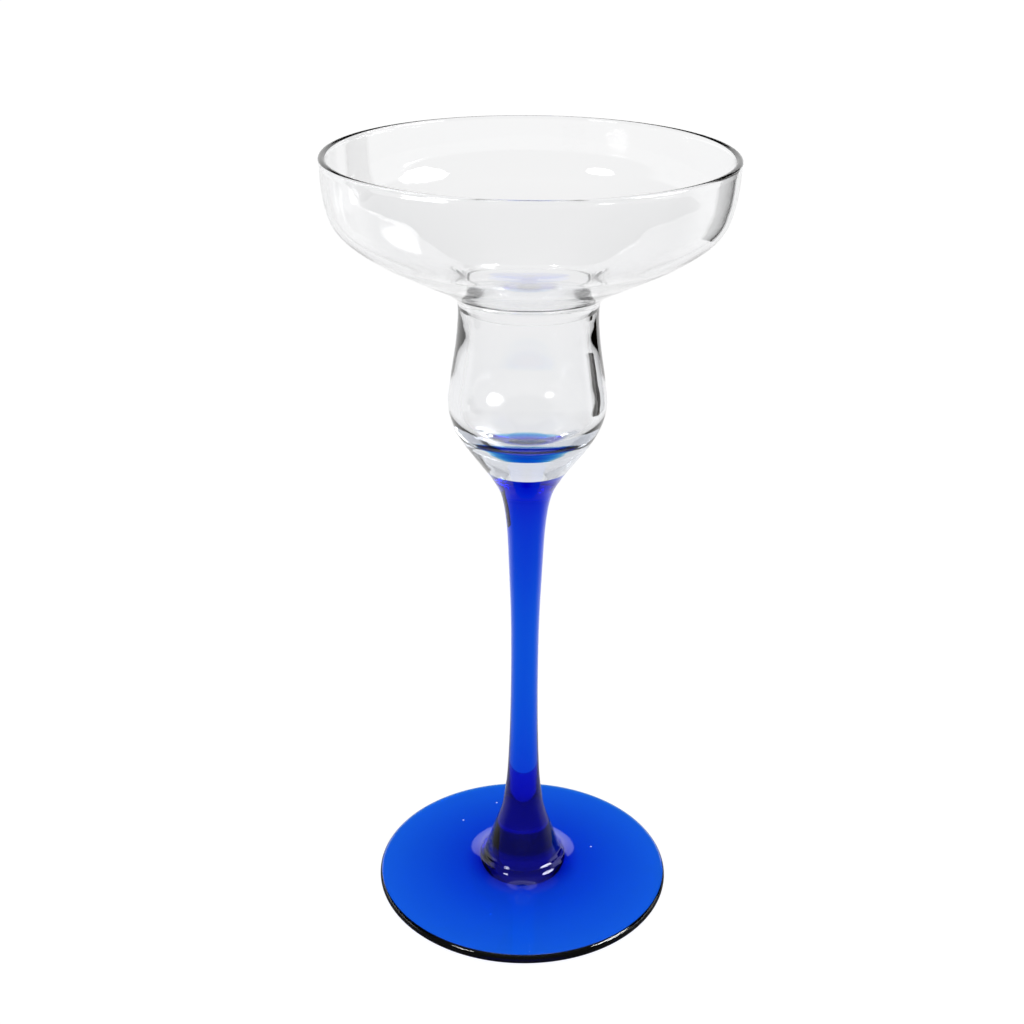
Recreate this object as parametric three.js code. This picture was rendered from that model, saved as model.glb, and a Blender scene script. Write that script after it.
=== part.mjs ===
// A stemmed glass candlestick, in millimetres, +Z up.
// The origin is the centre of the ring that the foot stands on.
// Four pieces of glass are fused end to end on one axis: a cobalt foot, a cobalt stem,
// a clear candle cup with a thick solid base, and a clear wide drip bowl.
import * as THREE from "three";

// Heights of the seams, where one piece of glass is fused to the next.
const FOOT_SEAM = 8;
const CUP_SEAM = 124.4;
const NECK_SEAM = 166;

// The foot: a flat disc with a rounded edge that rises to a low boss under the stem.
const FOOT_RADIUS = 40;
const FOOT_EDGE = 2.8;
const FOOT_RISE = 4.2;
const STAND_RING_INNER = 31;
const UNDERSIDE_HOLLOW = 0.9;
const BOSS_RADIUS = 11;
const BOSS_TOE = 15.5;

// The stem: drawn out thin, thickest where it is fused.
const STEM_WAIST = 3.6;
const STEM_WAIST_HEIGHT = 68;
const STEM_TOP = 11;

// The candle cup: a bulb with a narrow neck, hollow down to a thick clear floor.
const BULB_RADIUS = 19.65;
const BULB_HEIGHT = 141.5;
const NECK_RADIUS = 17.05;
const NECK_WALL = 1.85;
const CUP_FLOOR = 131.4;
const SEAT_RADIUS = 4.8;

// The drip bowl: a wide saucer with a steep side and a fire-polished lip.
const WALL = 1.4;
const SHOULDER_RADIUS = 19;
const LIP_RADIUS = 48.7;
const LIP_HEIGHT = 201.4;
const LIP_BEAD = 0.8;

// Steps round the axis. A multiple of four keeps the widest points on the X and Y axes.
const SEGMENTS = 60;

const cobaltGlass = () =>
  new THREE.MeshStandardMaterial({ color: 0x0b3fc9, roughness: 0.05, metalness: 0 });
const clearGlass = () =>
  new THREE.MeshStandardMaterial({ color: 0xe6eaee, roughness: 0.05, metalness: 0 });

/** A smooth curve through [radius, height] points, with the given steps for each span. */
function smooth(points, stepsPerSpan) {
  const curve = new THREE.SplineCurve(points.map(([r, z]) => new THREE.Vector2(r, z)));
  return curve.getPoints(stepsPerSpan * (points.length - 1));
}

/** Points on a circular arc in the radius and height plane, its angles in degrees. */
function arc(centreRadius, centreHeight, size, fromAngle, toAngle, steps) {
  return Array.from({ length: steps + 1 }, (_, step) => {
    const angle = THREE.MathUtils.degToRad(fromAngle + ((toAngle - fromAngle) * step) / steps);
    return new THREE.Vector2(
      centreRadius + size * Math.cos(angle),
      centreHeight + size * Math.sin(angle),
    );
  });
}

/** The outline moved sideways by the wall's thickness, towards the inside of the vessel. */
function inset(outline, thickness) {
  return outline.map((point, index) => {
    const before = outline[Math.max(index - 1, 0)];
    const after = outline[Math.min(index + 1, outline.length - 1)];
    const along = after.clone().sub(before).normalize();
    return new THREE.Vector2(point.x - along.y * thickness, point.y + along.x * thickness);
  });
}

/** One glass piece: its outline runs up the outside, so that its faces point out. */
function turned(name, outline, material) {
  const mesh = new THREE.Mesh(new THREE.LatheGeometry(outline, SEGMENTS), material);
  mesh.name = name;
  mesh.rotation.x = Math.PI / 2;
  return mesh;
}

/** A disc that stands on a flat ring, is hollowed a little inside it, and has a fused boss. */
function foot() {
  const edge = FOOT_EDGE / 2;
  const edgeCentre = FOOT_RADIUS - edge;
  const underside = smooth(
    [
      [0, UNDERSIDE_HOLLOW],
      [STAND_RING_INNER * 0.4, UNDERSIDE_HOLLOW * 0.8],
      [STAND_RING_INNER * 0.75, UNDERSIDE_HOLLOW * 0.35],
      [STAND_RING_INNER, 0],
    ],
    2,
  );
  const fillet = smooth(
    [
      [30, FOOT_EDGE + 0.4],
      [20, FOOT_RISE],
      [BOSS_TOE, FOOT_RISE + 0.65],
      [BOSS_RADIUS + 1.2, FOOT_SEAM - 1.65],
      [BOSS_RADIUS, FOOT_SEAM],
    ],
    3,
  );
  return turned(
    "foot",
    [
      ...underside,
      ...arc(edgeCentre, edge, edge, -90, 90, 8),
      ...fillet,
      new THREE.Vector2(0, FOOT_SEAM),
    ],
    cobaltGlass(),
  );
}

/** A solid drawn stem, flared at both ends to meet the pieces that it is fused to. */
function stem() {
  const side = smooth(
    [
      [BOSS_RADIUS, FOOT_SEAM],
      [BOSS_RADIUS - 0.85, FOOT_SEAM + 1.2],
      [8.8, 13.2],
      [7.6, 16.8],
      [6, 21.8],
      [5.2, 26],
      [4.4, 33],
      [3.9, 44],
      [STEM_WAIST + 0.05, 56],
      [STEM_WAIST, STEM_WAIST_HEIGHT],
      [STEM_WAIST + 0.15, 81],
      [4.3, 95],
      [5, 108],
      [6.4, 116.4],
      [8.9, 121.4],
      [STEM_TOP, CUP_SEAM],
    ],
    2,
  );
  return turned(
    "stem",
    [new THREE.Vector2(0, FOOT_SEAM), ...side, new THREE.Vector2(0, CUP_SEAM)],
    cobaltGlass(),
  );
}

/** A bulb-shaped cup on a thick solid base. The candle stands on the flat of its floor. */
function candleCup() {
  const outside = smooth(
    [
      [STEM_TOP, CUP_SEAM],
      [12.4, 126.3],
      [16, 131.3],
      [18.6, 136.4],
      [BULB_RADIUS, BULB_HEIGHT],
      [19.05, 147],
      [17.6, 156.4],
      [NECK_RADIUS, 162.5],
      [NECK_RADIUS, NECK_SEAM],
    ],
    2,
  );
  const inside = smooth(
    [
      [NECK_RADIUS - NECK_WALL, NECK_SEAM],
      [15, 162],
      [14.95, 156],
      [15.9, 147.5],
      [16.6, 142],
      [15.9, 138],
      [13.3, 134.7],
      [8.9, CUP_FLOOR + 1.5],
      [SEAT_RADIUS, CUP_FLOOR],
    ],
    2,
  );
  return turned(
    "candle_cup",
    [
      new THREE.Vector2(0, CUP_SEAM),
      ...outside,
      ...inside,
      new THREE.Vector2(0, CUP_FLOOR),
    ],
    clearGlass(),
  );
}

/** A wide shallow bowl, open through its floor into the cup, with a rounded lip. */
function dripBowl() {
  const beadCentre = LIP_RADIUS - LIP_BEAD;
  const outside = smooth(
    [
      [NECK_RADIUS, NECK_SEAM],
      [18.2, 168.7],
      [22.6, 171.8],
      [31.6, 176.4],
      [40, 181.2],
      [45.7, 186.2],
      [47.9, 192.4],
      [LIP_RADIUS, LIP_HEIGHT],
    ],
    2,
  );
  const basin = inset(outside, WALL)
    .slice(0, -1)
    .filter((point) => point.x > SHOULDER_RADIUS)
    .reverse();
  const shoulder = smooth(
    [
      [17.8, 170.8],
      [16.1, 168.8],
      [NECK_RADIUS - NECK_WALL, NECK_SEAM],
    ],
    2,
  );
  return turned(
    "drip_bowl",
    [
      ...outside.slice(0, -1),
      ...arc(beadCentre, LIP_HEIGHT, LIP_BEAD, 0, 180, 8),
      ...basin,
      ...shoulder,
      outside[0].clone(),
    ],
    clearGlass(),
  );
}

const candlestick = new THREE.Group();
candlestick.add(foot(), stem(), candleCup(), dripBowl());

export default candlestick;
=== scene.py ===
# %% [markdown]
# # A stemmed glass candlestick
#
# This lesson builds the looks of a glass candlestick round a measured model. The model gives
# four pieces, fused end to end on one axis: a cobalt foot, a cobalt stem, a clear candle cup and
# a clear drip bowl. Glass shows what its surfaces do to light, so most of the work here is in
# true outlines, true walls and a studio that gives the glass something to bend.

# %% Load the measured model
import math

import bmesh
import bpy
from mathutils import Matrix, Vector, noise


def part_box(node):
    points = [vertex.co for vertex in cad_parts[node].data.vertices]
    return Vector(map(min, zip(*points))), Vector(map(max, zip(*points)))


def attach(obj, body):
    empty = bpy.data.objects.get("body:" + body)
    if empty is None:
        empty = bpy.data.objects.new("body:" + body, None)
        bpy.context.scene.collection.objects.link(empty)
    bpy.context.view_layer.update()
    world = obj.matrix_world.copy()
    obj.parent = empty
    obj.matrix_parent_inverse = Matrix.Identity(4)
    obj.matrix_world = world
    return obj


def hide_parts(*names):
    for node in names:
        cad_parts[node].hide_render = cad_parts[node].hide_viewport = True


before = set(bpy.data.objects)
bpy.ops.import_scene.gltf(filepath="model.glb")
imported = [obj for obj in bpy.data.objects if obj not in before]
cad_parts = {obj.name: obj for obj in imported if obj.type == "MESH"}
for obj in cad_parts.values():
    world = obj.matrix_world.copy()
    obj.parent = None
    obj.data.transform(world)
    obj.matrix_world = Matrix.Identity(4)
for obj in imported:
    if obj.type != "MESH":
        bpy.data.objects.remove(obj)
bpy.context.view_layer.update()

MM = 0.001

# %% [markdown]
# ## The driving sizes
#
# Every piece was turned or blown on the axis, so a piece is known by radii and heights. The
# widest radius and the ends of each piece come from the measured model, and the points between
# them are listed. The stem is as wide at its top as at its foot, so one radius serves
# both. Sizes are kept in millimetres, because that is how glass is measured.

# %% Read the seams and the widest radii
foot_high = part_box("foot")[1] / MM
stem_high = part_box("stem")[1] / MM
cup_low, cup_high = (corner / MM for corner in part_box("candle_cup"))
bowl_low, bowl_high = (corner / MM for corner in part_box("drip_bowl"))

FOOT_RADIUS, FOOT_SEAM = foot_high.x, foot_high.z
STEM_END = stem_high.x
CUP_SEAM, BULB_RADIUS = cup_low.z, cup_high.x
NECK_SEAM, LIP_RADIUS, TOP = bowl_low.z, bowl_high.x, bowl_high.z
print("seams at", [round(seam, 1) for seam in (FOOT_SEAM, CUP_SEAM, NECK_SEAM)], "top", round(TOP, 1))

# %% [markdown]
# ## Turning an outline
#
# The real pieces are spun while the glass is soft, which is why each is a surface of revolution.
# A Screw modifier could turn a curve, but glass needs a closed body with clean poles for
# the light to enter and leave, so the rings are laid down vertex by vertex. A few given
# points are joined by a smooth Catmull-Rom curve, and round edges are true arcs. The flat ends
# meet the sides at a sharp edge, because smooth shading there would bend the light wrongly.

# %% Curves through a few points
STEPS_PER_SPAN = 10


def smooth(points):
    """A smooth curve through the (radius, height) points."""
    ends = [points[0]] + list(points) + [points[-1]]
    curve = []
    for a, b, c, d in zip(ends, ends[1:], ends[2:], ends[3:]):
        for step in range(STEPS_PER_SPAN):
            t = step / STEPS_PER_SPAN
            curve.append(tuple(
                0.5 * (
                    2 * q
                    + (r - p) * t
                    + (2 * p - 5 * q + 4 * r - s) * t**2
                    + (3 * q - 3 * r + s - p) * t**3
                )
                for p, q, r, s in zip(a, b, c, d)
            ))
    return curve + [tuple(points[-1])]


def arc(centre, size, start, end, steps=16):
    """Points on a round edge; the angles are in degrees, and 0 points away from the axis."""
    angles = (math.radians(start + (end - start) * step / steps) for step in range(steps + 1))
    return [(centre[0] + size * math.cos(a), centre[1] + size * math.sin(a)) for a in angles]


def inset(outline, thickness):
    """The outline moved inwards by the thickness of the wall."""
    moved = []
    for index, (r, z) in enumerate(outline):
        before = outline[max(index - 1, 0)]
        after = outline[min(index + 1, len(outline) - 1)]
        along = Vector((after[0] - before[0], after[1] - before[1])).normalized()
        moved.append((r - along.y * thickness, z + along.x * thickness))
    return moved


# %% [markdown]
# ### From an outline to a closed body
#
# Each point of the outline becomes a ring of vertices, or a single one where it lies on the axis,
# and each ring is stitched to the next. Nothing made by hand is perfectly round, so every point is
# also let wander by a few hundredths of a millimetre, which keeps the reflections alive.

# %% Turn an outline into one closed body
TURNS = 256
HAND_WANDER = 0.04
WANDER_LENGTH = 30
SHARP_EDGE = math.radians(40)
ON_AXIS = 1e-6


def hand_made(point):
    """Moves a point, in millimetres, as little as a steady hand lets hot glass wander."""
    away = Vector((point.x, point.y, 0))
    amount = noise.noise(point / WANDER_LENGTH) * HAND_WANDER
    return point + away.normalized() * amount if away.length > 1 else point


def turned(name, outline):
    """Revolves an outline that runs from axis to axis, or back to its first point."""
    shape = bmesh.new()
    rings = []
    for radius, height in outline:
        if radius < ON_AXIS:
            rings.append([shape.verts.new(Vector((0, 0, height)) * MM)])
            continue
        ring = []
        for turn in range(TURNS):
            angle = 2 * math.pi * turn / TURNS
            point = Vector((radius * math.cos(angle), radius * math.sin(angle), height))
            ring.append(shape.verts.new(hand_made(point) * MM))
        rings.append(ring)
    if len(rings[0]) > 1:
        rings.append(rings[0])
    for lower, upper in zip(rings, rings[1:]):
        for turn in range(TURNS):
            after = (turn + 1) % TURNS
            corners = [lower[turn % len(lower)], lower[after % len(lower)],
                       upper[after % len(upper)], upper[turn % len(upper)]]
            shape.faces.new(list(dict.fromkeys(corners)))
    mesh = bpy.data.meshes.new(name)
    shape.to_mesh(mesh)
    shape.free()
    mesh.shade_smooth()
    mesh.set_sharp_from_angle(angle=SHARP_EDGE)
    piece = bpy.data.objects.new(name, mesh)
    bpy.context.scene.collection.objects.link(piece)
    print(name, "has", len(mesh.polygons), "faces")
    return piece


# %% [markdown]
# ## Fused seams
#
# Two gathers of hot glass fuse into one body, with no air between. Light would be trapped at a
# gap, however thin, so each piece is let a hair into the next one instead of stopping short.

# %% How far fused pieces reach into each other
FUSED = 0.03

# %% [markdown]
# ## The foot
#
# A gather of cobalt glass is dropped on the end of the stem and pressed into a disc with a
# wooden paddle. That leaves a slight slope, a soft fillet round the boss, a rounded edge from the
# flame, and a faintly hollow underside, so that the foot stands on its outer ring.

# %% Turn the foot
FOOT_EDGE = 2.8
FOOT_RISE = 4.2
STAND_RING = 31
UNDERSIDE_HOLLOW = 0.9


def make_foot():
    edge = FOOT_EDGE / 2
    underside = smooth([
        (0, UNDERSIDE_HOLLOW),
        (STAND_RING * 0.4, UNDERSIDE_HOLLOW * 0.8),
        (STAND_RING * 0.75, UNDERSIDE_HOLLOW * 0.35),
        (STAND_RING, 0),
    ])
    top = smooth([
        (FOOT_RADIUS - edge, FOOT_EDGE),
        (30, FOOT_EDGE + 0.4),
        (20, FOOT_RISE),
        (15.5, FOOT_RISE + 0.65),
        (STEM_END + 1.2, FOOT_SEAM - 1.65),
        (STEM_END, FOOT_SEAM),
    ])
    rim = arc((FOOT_RADIUS - edge, edge), edge, -90, 90)[:-1]
    return turned("foot_disc", underside + rim + top + [(0, FOOT_SEAM)])


foot = make_foot()

# %% [markdown]
# ## The stem
#
# The stem is one solid gather, pulled out thin while it is soft. It keeps its thickness at the
# two ends where it is fused, which gives the long, slow flare at the bottom and the short one at
# the top.

# %% Turn the stem
STEM_WAIST = 3.6


def make_stem():
    side = smooth([
        (STEM_END, FOOT_SEAM - FUSED),
        (STEM_END - 0.85, FOOT_SEAM + 1.2),
        (8.8, 13.2),
        (7.6, 16.8),
        (6, 21.8),
        (5.2, 26),
        (4.4, 33),
        (3.9, 44),
        (STEM_WAIST + 0.05, 56),
        (STEM_WAIST, 68),
        (STEM_WAIST + 0.15, 81),
        (4.3, 95),
        (5, 108),
        (6.4, 116.4),
        (8.9, 121.4),
        (STEM_END, CUP_SEAM),
    ])
    return turned("drawn_stem", [(0, FOOT_SEAM - FUSED)] + side + [(0, CUP_SEAM)])


stem = make_stem()

# %% [markdown]
# ## The candle cup
#
# The cup is blown. Its base is a solid lens of clear glass, because the bubble never reaches the
# bottom of the gather. The inside outline is its own curve: the wall grows from under 2 mm at the
# neck to 3 mm at the bulb and more towards the floor, as it does on blown glass. The thick wall
# draws the dark line beside the silhouette, and the dished floor draws the two blue crescents.

# %% Turn the candle cup
NECK_RADIUS = 17.05
NECK_WALL = 1.85
CUP_FLOOR = 131.4
SEAT_RADIUS = 4.8


def make_cup():
    outside = smooth([
        (STEM_END, CUP_SEAM - FUSED),
        (12.4, 126.3),
        (16, 131.3),
        (18.6, 136.4),
        (BULB_RADIUS, 141.5),
        (19.05, 147),
        (17.6, 156.4),
        (NECK_RADIUS, 162.5),
        (NECK_RADIUS, NECK_SEAM),
    ])
    inside = smooth([
        (NECK_RADIUS - NECK_WALL, NECK_SEAM),
        (15, 162),
        (14.95, 156),
        (15.9, 147.5),
        (16.6, 142),
        (15.9, 138),
        (13.3, 134.7),
        (8.9, CUP_FLOOR + 1.5),
        (SEAT_RADIUS, CUP_FLOOR),
    ])
    return turned("blown_cup", [(0, CUP_SEAM - FUSED)] + outside + inside + [(0, CUP_FLOOR)])


cup = make_cup()

# %% [markdown]
# ## The drip bowl
#
# The bowl is opened out from the neck with a wooden jack. Its wall is even but for the shoulder,
# where it thickens to meet the neck. Its side stands nearly upright, and its lip is a round bead,
# because the flame pulls a cut edge into one.

# %% Turn the drip bowl
WALL = 1.4
SHOULDER_RADIUS = 19
LIP_BEAD = 0.8


def make_bowl():
    lip_height = TOP - LIP_BEAD
    outside = smooth([
        (NECK_RADIUS, NECK_SEAM - FUSED),
        (18.2, 168.7),
        (22.6, 171.8),
        (31.6, 176.4),
        (40, 181.2),
        (45.7, 186.2),
        (47.9, 192.4),
        (LIP_RADIUS, lip_height),
    ])
    basin = [point for point in inset(outside, WALL)[:-1] if point[0] > SHOULDER_RADIUS]
    shoulder = smooth([
        (17.8, 170.8),
        (16.1, 168.8),
        (NECK_RADIUS - NECK_WALL, NECK_SEAM - FUSED),
    ])
    bead = arc((LIP_RADIUS - LIP_BEAD, lip_height), LIP_BEAD, 0, 180)
    return turned("drip_saucer", outside[:-1] + bead + basin[::-1] + shoulder)


bowl = make_bowl()

# %% [markdown]
# ## Shared surface effects
#
# Glass made by hand shows three things on its skin. The surface is gently wavy, because it froze
# while it was still moving. It carries faint handling marks that soften a reflection here and
# there. And a few specks of dust lie on it, each painted with a faint glow of its own that stands
# in for the light it catches. Each effect is a node group with its own inputs, so that every
# material can place it with its own values.

# %% A helper for building node groups
def node_group(name, inputs, outputs):
    """An empty shader group; inputs and outputs are (name, kind, default) and (name, kind)."""
    group = bpy.data.node_groups.new(name, "ShaderNodeTree")
    for title, kind, default in inputs:
        socket = group.interface.new_socket(title, in_out="INPUT", socket_type="NodeSocket" + kind)
        socket.default_value = default
    for title, kind in outputs:
        group.interface.new_socket(title, in_out="OUTPUT", socket_type="NodeSocket" + kind)
    return group, group.nodes.new("NodeGroupInput"), group.nodes.new("NodeGroupOutput")


def math_node(tree, operation, first, second):
    """One Math node; each operand is a socket or a number."""
    node = tree.nodes.new("ShaderNodeMath")
    node.operation = operation
    for index, value in enumerate((first, second)):
        if isinstance(value, (int, float)):
            node.inputs[index].default_value = value
        else:
            tree.links.new(value, node.inputs[index])
    return node.outputs[0]


# %% [markdown]
# ### Frozen waves
#
# A noise that is stretched along the axis looks like the cords of a drawn stem, and one that is
# squashed along it looks like the rings of a spun bowl. So one group does for both: Lengthwise
# says how long the waves are along the axis, compared with round it.

# %% The frozen_waves group
def make_frozen_waves():
    group, inputs, outputs = node_group(
        "frozen_waves",
        [("Scale", "Float", 60.0), ("Lengthwise", "Float", 1.0), ("Ripple", "Float", 0.3)],
        [("Height", "Float")],
    )
    place = group.nodes.new("ShaderNodeTexCoord")
    apart = group.nodes.new("ShaderNodeSeparateXYZ")
    group.links.new(place.outputs["Object"], apart.inputs[0])
    along = math_node(group, "DIVIDE", apart.outputs["Z"], inputs.outputs["Lengthwise"])
    together = group.nodes.new("ShaderNodeCombineXYZ")
    group.links.new(apart.outputs["X"], together.inputs["X"])
    group.links.new(apart.outputs["Y"], together.inputs["Y"])
    group.links.new(along, together.inputs["Z"])
    swell = group.nodes.new("ShaderNodeTexNoise")
    swell.inputs["Detail"].default_value = 1.0
    ripple = group.nodes.new("ShaderNodeTexNoise")
    ripple.inputs["Detail"].default_value = 2.0
    group.links.new(together.outputs[0], swell.inputs["Vector"])
    group.links.new(together.outputs[0], ripple.inputs["Vector"])
    group.links.new(inputs.outputs["Scale"], swell.inputs["Scale"])
    finer = math_node(group, "MULTIPLY", inputs.outputs["Scale"], 5.0)
    group.links.new(finer, ripple.inputs["Scale"])
    small = math_node(group, "MULTIPLY", ripple.outputs["Fac"], inputs.outputs["Ripple"])
    group.links.new(math_node(group, "ADD", swell.outputs["Fac"], small), outputs.inputs["Height"])
    return group


frozen_waves = make_frozen_waves()
print(frozen_waves.name, "takes and gives", [s.name for s in frozen_waves.interface.items_tree])

# %% [markdown]
# ### Handling marks
#
# A thumb leaves a soft patch where a reflection is a little duller. Large noise, cut off so that
# most of the surface stays clean, gives patches with soft edges.

# %% The handling_marks group
ALL_CLEAN = 0.75
FULLY_MARKED = 0.8


def make_handling_marks():
    group, inputs, outputs = node_group(
        "handling_marks",
        [
            ("Clean", "Float", 0.0),
            ("Marked", "Float", 0.05),
            ("Scale", "Float", 45.0),
            ("Share", "Float", 0.3),
        ],
        [("Roughness", "Float")],
    )
    place = group.nodes.new("ShaderNodeTexCoord")
    patches = group.nodes.new("ShaderNodeTexNoise")
    patches.inputs["Detail"].default_value = 3.0
    group.links.new(place.outputs["Object"], patches.inputs["Vector"])
    group.links.new(inputs.outputs["Scale"], patches.inputs["Scale"])
    start = math_node(group, "SUBTRACT", ALL_CLEAN, inputs.outputs["Share"])
    spread = group.nodes.new("ShaderNodeMapRange")
    spread.interpolation_type = "SMOOTHSTEP"
    group.links.new(patches.outputs["Fac"], spread.inputs["Value"])
    group.links.new(start, spread.inputs["From Min"])
    spread.inputs["From Max"].default_value = FULLY_MARKED
    group.links.new(inputs.outputs["Clean"], spread.inputs["To Min"])
    group.links.new(inputs.outputs["Marked"], spread.inputs["To Max"])
    group.links.new(spread.outputs["Result"], outputs.inputs["Roughness"])
    return group


handling_marks = make_handling_marks()
print(handling_marks.name, "takes and gives", [s.name for s in handling_marks.interface.items_tree])

# %% [markdown]
# ### Dust
#
# Voronoi cells are a cheap way to scatter specks: each cell has one centre, and a speck is drawn
# where the distance to it is small. A second random value per cell leaves most cells empty.

# %% The dust group
def make_dust():
    group, inputs, outputs = node_group(
        "dust",
        [("Spacing", "Float", 8.0), ("Size", "Float", 0.05), ("Share", "Float", 0.3)],
        [("Mask", "Float")],
    )
    place = group.nodes.new("ShaderNodeTexCoord")
    cells = group.nodes.new("ShaderNodeTexVoronoi")
    group.links.new(place.outputs["Object"], cells.inputs["Vector"])
    per_metre = math_node(group, "DIVIDE", 1000.0, inputs.outputs["Spacing"])
    group.links.new(per_metre, cells.inputs["Scale"])
    near = math_node(group, "LESS_THAN", cells.outputs["Distance"], inputs.outputs["Size"])
    luck = group.nodes.new("ShaderNodeSeparateColor")
    group.links.new(cells.outputs["Color"], luck.inputs[0])
    chosen = math_node(group, "LESS_THAN", luck.outputs["Red"], inputs.outputs["Share"])
    group.links.new(math_node(group, "MULTIPLY", near, chosen), outputs.inputs["Mask"])
    return group


dust = make_dust()
print(dust.name, "takes and gives", [s.name for s in dust.interface.items_tree])

# %% [markdown]
# ## Glass
#
# Both glasses are soda-lime glass, which bends light by 1.52. The shader is a plain Principled
# one with full transmission. The colour of cobalt glass isn't on its skin but in its depth, so it
# is a Volume Absorption: the thick boss at the foot turns nearly black and the thin edge stays
# bright, as it does on the real piece. Base Color is white, or it would tint the light each time
# it passes the skin. Clear glass absorbs too, a very little, and least in the blue, and that is
# why a thick clear wall looks a cool grey.

# %% A recipe for glass
GLASS_IOR = 1.52
# Painted light: the dust specks glow with this grey of their own instead of catching the lamps'
# light.
SPECK_GLOW_COLOUR = (0.55, 0.58, 0.62, 1)


def glass(name, passed, density, waves, marks, specks, skin_depth):
    """Glass whose depth passes a colour and whose skin takes the three effects."""
    material = bpy.data.materials.new(name)
    material.use_nodes = True
    tree = material.node_tree
    shader = tree.nodes["Principled BSDF"]
    shader.inputs["Base Color"].default_value = (1, 1, 1, 1)
    shader.inputs["IOR"].default_value = GLASS_IOR
    shader.inputs["Transmission Weight"].default_value = 1.0
    shader.inputs["Emission Strength"].default_value = 1.0

    depth = tree.nodes.new("ShaderNodeVolumeAbsorption")
    depth.inputs["Color"].default_value = (*passed, 1.0)
    depth.inputs["Density"].default_value = density
    tree.links.new(depth.outputs[0], tree.nodes["Material Output"].inputs["Volume"])

    placed = []
    for group, values in ((frozen_waves, waves), (handling_marks, marks), (dust, specks)):
        node = tree.nodes.new("ShaderNodeGroup")
        node.node_tree = group
        for title, value in values.items():
            node.inputs[title].default_value = value
        placed.append(node)
    skin = tree.nodes.new("ShaderNodeBump")
    skin.inputs["Strength"].default_value = 1.0
    skin.inputs["Distance"].default_value = skin_depth * MM
    tree.links.new(placed[0].outputs["Height"], skin.inputs["Height"])
    tree.links.new(skin.outputs["Normal"], shader.inputs["Normal"])
    tree.links.new(placed[1].outputs["Roughness"], shader.inputs["Roughness"])

    # The dust specks are painted highlights: where the dust mask is set, the skin gives off a faint
    # grey glow.
    speck_glow = tree.nodes.new("ShaderNodeMix")
    speck_glow.data_type = "RGBA"
    speck_glow.inputs["A"].default_value = (0, 0, 0, 1)
    speck_glow.inputs["B"].default_value = SPECK_GLOW_COLOUR
    tree.links.new(placed[2].outputs["Mask"], speck_glow.inputs["Factor"])
    tree.links.new(speck_glow.outputs["Result"], shader.inputs["Emission Color"])
    return material


# %% [markdown]
# ### The four finishes
#
# The foot was pressed, so its waves are broad. The stem was pulled, so its waves are long cords.
# The cup and the bowl were spun, so theirs are squashed into rings.

# %% Mix the four glasses
PRESSED_COBALT = (0.0, 0.582, 0.948)
DRAWN_COBALT = (0.0, 0.673, 0.963)
CLEAR_PASSED = (0.67, 0.70, 0.76)
PRESSED_DENSITY = 1500
DRAWN_DENSITY = 1000
CLEAR_DENSITY = 36

cobalt_foot = glass(
    "cobalt_foot_glass", PRESSED_COBALT, PRESSED_DENSITY,
    {"Scale": 45, "Lengthwise": 1.0, "Ripple": 0.05},
    {"Clean": 0.0, "Marked": 0.03},
    {"Spacing": 9.0, "Size": 0.03, "Share": 0.3},
    0.02,
)
cobalt_stem = glass(
    "cobalt_stem_glass", DRAWN_COBALT, DRAWN_DENSITY,
    {"Scale": 90, "Lengthwise": 8.0, "Ripple": 0.05},
    {"Clean": 0.0, "Marked": 0.02},
    {"Spacing": 9.0, "Size": 0.02, "Share": 0.2},
    0.01,
)
clear_cup = glass(
    "clear_cup_glass", CLEAR_PASSED, CLEAR_DENSITY,
    {"Scale": 70, "Lengthwise": 0.5, "Ripple": 0.1},
    {"Clean": 0.0, "Marked": 0.03},
    {"Spacing": 9.0, "Size": 0.02, "Share": 0.1},
    0.015,
)
clear_bowl = glass(
    "clear_bowl_glass", CLEAR_PASSED, CLEAR_DENSITY,
    {"Scale": 55, "Lengthwise": 0.5, "Ripple": 0.1},
    {"Clean": 0.0, "Marked": 0.03},
    {"Spacing": 9.0, "Size": 0.02, "Share": 0.1},
    0.02,
)

for finish in (cobalt_foot, cobalt_stem, clear_cup, clear_bowl):
    print(finish.name, "has", len(finish.node_tree.nodes), "nodes")

# %% [markdown]
# ### Fitting the looks to the model
#
# Each visible piece stands in for one node of the measured model, gets its glass, and
# rides on its body. Nothing on a candlestick moves, so all four ride on the one body.

# %% Give each piece its glass and its place in the model
for piece, material, node, slot in (
    (foot, cobalt_foot, "foot", "cobalt_foot"),
    (stem, cobalt_stem, "stem", "cobalt_stem"),
    (cup, clear_cup, "candle_cup", "clear_cup"),
    (bowl, clear_bowl, "drip_bowl", "clear_bowl"),
):
    piece.data.materials.append(material)
    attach(piece, "root")
    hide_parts(node)
    print(piece.name, "stands in for", node, "in", material.name)

# %% [markdown]
# ## The studio
#
# Clear glass has nothing to show but what stands round it. The usual way to light it is a bright
# white sweep behind and below, which it bends into itself, and darkness in front, which it
# mirrors. Two eight-sided softboxes, one in front on the left and one on the right, give the
# highlights, and one dark card gives the clear edges their line.

# %% The sweep and the dark room
def fading_level(tree, coordinate, axis, low, high, level_low, level_high):
    """A level that changes smoothly along one axis of a texture coordinate."""
    place = tree.nodes.new("ShaderNodeTexCoord")
    apart = tree.nodes.new("ShaderNodeSeparateXYZ")
    tree.links.new(place.outputs[coordinate], apart.inputs[0])
    spread = tree.nodes.new("ShaderNodeMapRange")
    spread.interpolation_type = "SMOOTHSTEP"
    tree.links.new(apart.outputs[axis], spread.inputs["Value"])
    spread.inputs["From Min"].default_value = low
    spread.inputs["From Max"].default_value = high
    spread.inputs["To Min"].default_value = level_low
    spread.inputs["To Max"].default_value = level_high
    return spread.outputs["Result"]


def blend_levels(tree, share, first, second):
    """The first level where the share is 0 and the second where it is 1."""
    mix = tree.nodes.new("ShaderNodeMix")
    for title, value in (("Factor", share), ("A", first), ("B", second)):
        if isinstance(value, (int, float)):
            mix.inputs[title].default_value = value
        else:
            tree.links.new(value, mix.inputs[title])
    return mix.outputs["Result"]


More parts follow.
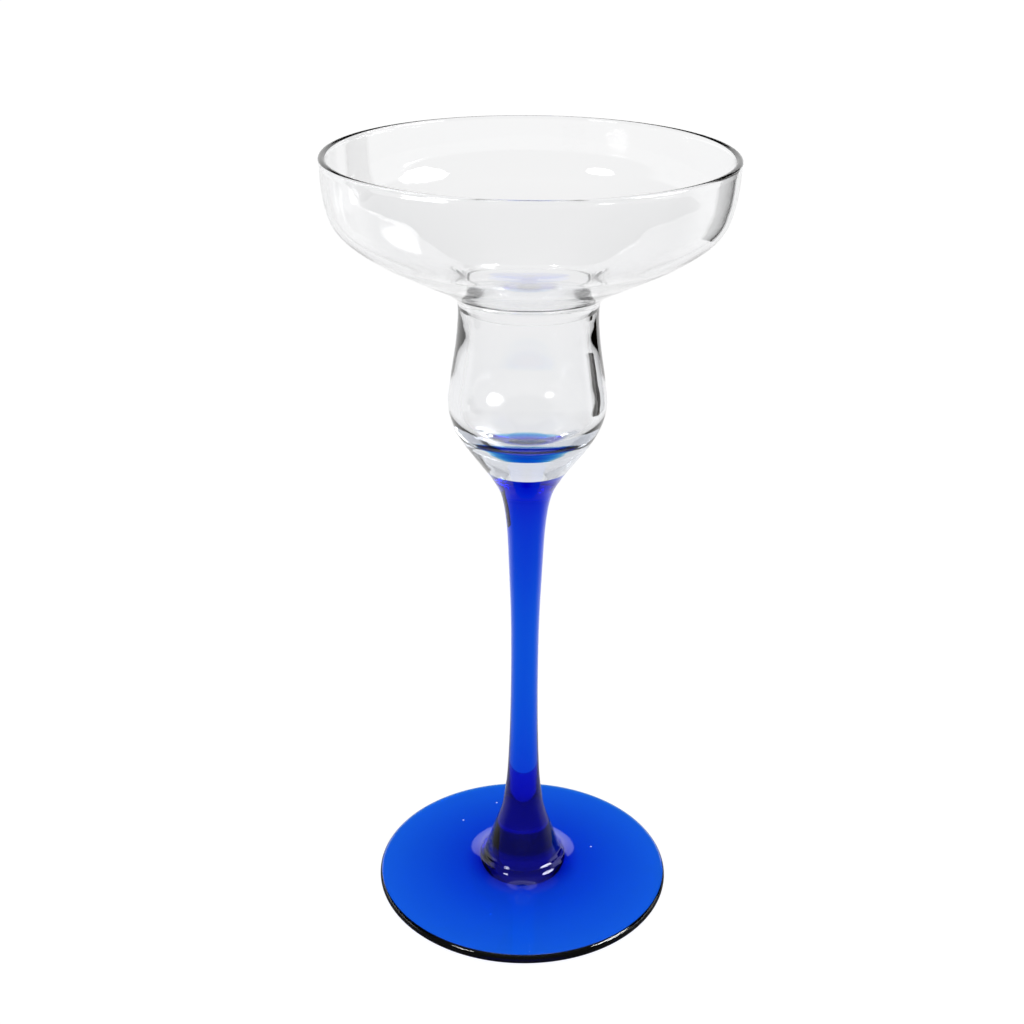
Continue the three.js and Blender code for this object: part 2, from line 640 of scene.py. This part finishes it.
SWEEP_TOP = math.sin(math.radians(20))
SWEEP_FADE = 0.03
SWEEP = 1.05
ROOM = 0.03
FRONT = 0.12
FRONT_ENDS = (-0.3, 0.0)
CEILING = 0.15
CEILING_STARTS = (0.8, 0.9)
ON_THE_FLOOR = 0.35


def make_world():
    world = bpy.data.worlds.new("studio")
    bpy.context.scene.world = world
    world.use_nodes = True
    tree = world.node_tree
    fade_from, fade_to = SWEEP_TOP - SWEEP_FADE, SWEEP_TOP + SWEEP_FADE
    sweep = fading_level(tree, "Generated", "Z", fade_from, fade_to, SWEEP, ROOM)
    behind = fading_level(tree, "Generated", "Y", *FRONT_ENDS, 0.0, 1.0)
    overhead = fading_level(tree, "Generated", "Z", *CEILING_STARTS, 0.0, CEILING)
    mirrored = math_node(tree, "ADD", blend_levels(tree, behind, FRONT, sweep), overhead)
    path = tree.nodes.new("ShaderNodeLightPath")
    seen = blend_levels(tree, path.outputs["Is Transmission Ray"], mirrored, SWEEP)
    seen = blend_levels(tree, path.outputs["Is Diffuse Ray"], seen, ON_THE_FLOOR)
    seen = blend_levels(tree, path.outputs["Is Camera Ray"], seen, SWEEP)
    tree.links.new(seen, tree.nodes["Background"].inputs["Strength"])
    tree.nodes["Background"].inputs["Color"].default_value = (1, 1, 1, 1)


make_world()

# %% [markdown]
# ### The floor
#
# The floor is a light table: it glows, so that light comes up through the foot as well as down,
# and it scatters a little, so that the foot still leaves a faint shadow. In front of the glass
# its mirror image fades to dark, as the room does. It lies a tenth of a millimetre under the
# foot, the gap that even a well ground foot keeps.

# %% Lay the floor
FLOOR_GAP = 0.1
FLOOR_REACH = 4.0
FLOOR_GREY = 0.25
GLOW = 0.95
GLOW_THROUGH = 0.85
IMAGE_FADES = (-0.05, 0.15)


def make_floor():
    mesh = bpy.data.meshes.new("studio_floor")
    reach, height = FLOOR_REACH, -FLOOR_GAP * MM
    corners = [(x * reach, y * reach, height) for x, y in ((-1, -1), (1, -1), (1, 1), (-1, 1))]
    mesh.from_pydata(corners, [], [(0, 1, 2, 3)])
    floor = bpy.data.objects.new("studio_floor", mesh)
    bpy.context.scene.collection.objects.link(floor)
    material = bpy.data.materials.new("studio_floor")
    material.use_nodes = True
    tree = material.node_tree
    shader = tree.nodes["Principled BSDF"]
    shader.inputs["Base Color"].default_value = (FLOOR_GREY, FLOOR_GREY, FLOOR_GREY, 1)
    shader.inputs["Roughness"].default_value = 0.8
    shader.inputs["Specular IOR Level"].default_value = 0.0
    shader.inputs["Emission Color"].default_value = (1, 1, 1, 1)
    image = fading_level(tree, "Object", "Y", *IMAGE_FADES, 0.0, GLOW)
    path = tree.nodes.new("ShaderNodeLightPath")
    mirrored = blend_levels(tree, path.outputs["Is Reflection Ray"], GLOW, image)
    glow = blend_levels(tree, path.outputs["Is Transmission Ray"], mirrored, GLOW_THROUGH)
    tree.links.new(glow, shader.inputs["Emission Strength"])
    mesh.materials.append(material)
    print("floor glows", GLOW, "and through glass", GLOW_THROUGH)


make_floor()

# %% [markdown]
# ### Softboxes and the dark card
#
# They are turned to face the glass and are hidden from the camera. The softboxes are eight-sided,
# because that outline shows in every highlight.

# %% Stand them round the glass
def card(name, azimuth, elevation, distance, width, height, sides, colour, strength):
    """A flat card facing the middle of the glass; azimuth 0 is behind it and 90 is right of it."""
    middle = Vector((0, 0, TOP / 2)) * MM
    a, e = math.radians(azimuth), math.radians(elevation)
    away = Vector((math.sin(a) * math.cos(e), math.cos(a) * math.cos(e), math.sin(e)))
    across = away.cross(Vector((0, 0, 1))).normalized()
    up = across.cross(away)
    corners = []
    for side in range(sides):
        angle = 2 * math.pi * (side + 0.5) / sides
        reach = 1 / math.cos(math.pi / sides)
        corners.append(
            middle + away * distance
            + across * (math.cos(angle) * reach * width / 2)
            + up * (math.sin(angle) * reach * height / 2)
        )
    mesh = bpy.data.meshes.new(name)
    mesh.from_pydata(corners, [], [tuple(range(sides))])
    board = bpy.data.objects.new(name, mesh)
    bpy.context.scene.collection.objects.link(board)
    material = bpy.data.materials.new(name)
    material.use_nodes = True
    shader = material.node_tree.nodes["Principled BSDF"]
    shader.inputs["Base Color"].default_value = (*colour, 1)
    shader.inputs["Roughness"].default_value = 1.0
    shader.inputs["Specular IOR Level"].default_value = 0.0
    shader.inputs["Emission Color"].default_value = (1, 1, 1, 1)
    shader.inputs["Emission Strength"].default_value = strength
    mesh.materials.append(material)
    board.visible_camera = False
    board.visible_diffuse = False
    board.visible_shadow = False
    print(name, "is", round(width, 2), "by", round(height, 2), "m")


card("softbox_left", -133, 32, 0.9, 0.24, 0.24, 8, (0, 0, 0), 16)
card("softbox_right", 105, 32, 0.8, 0.42, 0.42, 8, (0, 0, 0), 16)
card("dark_card", 52, 6, 0.35, 0.16, 0.44, 4, (0.02, 0.015, 0.01), 0)

# %% [markdown]
# ## The camera
#
# It stands four tenths of a metre away, looking down by about a quarter of a right angle. Depth
# of field stays off and the view is plain sRGB, so white stays white.

# %% Place the camera
STAND_BACK = 0.3597
EYE_HEIGHT = 0.2739
LOOK_DOWN = math.radians(24.31)
LOOK_ASIDE = math.radians(-0.578)
TILT = math.radians(0.406)
LENS = 54.61


def make_camera():
    data = bpy.data.cameras.new("camera")
    data.lens = LENS
    data.sensor_width = 36
    data.clip_start = 0.01
    camera = bpy.data.objects.new("camera", data)
    bpy.context.scene.collection.objects.link(camera)
    turn = (
        Matrix.Rotation(-LOOK_ASIDE, 4, "Z")
        @ Matrix.Rotation(math.pi / 2 - LOOK_DOWN, 4, "X")
        @ Matrix.Rotation(TILT, 4, "Z")
    )
    camera.matrix_world = Matrix.Translation((0, -STAND_BACK, EYE_HEIGHT)) @ turn
    bpy.context.scene.camera = camera


make_camera()
bpy.context.scene.view_settings.view_transform = "Standard"
bpy.context.scene.cycles.max_bounces = 32
bpy.context.scene.cycles.transmission_bounces = 32
bpy.context.scene.cycles.transparent_max_bounces = 32
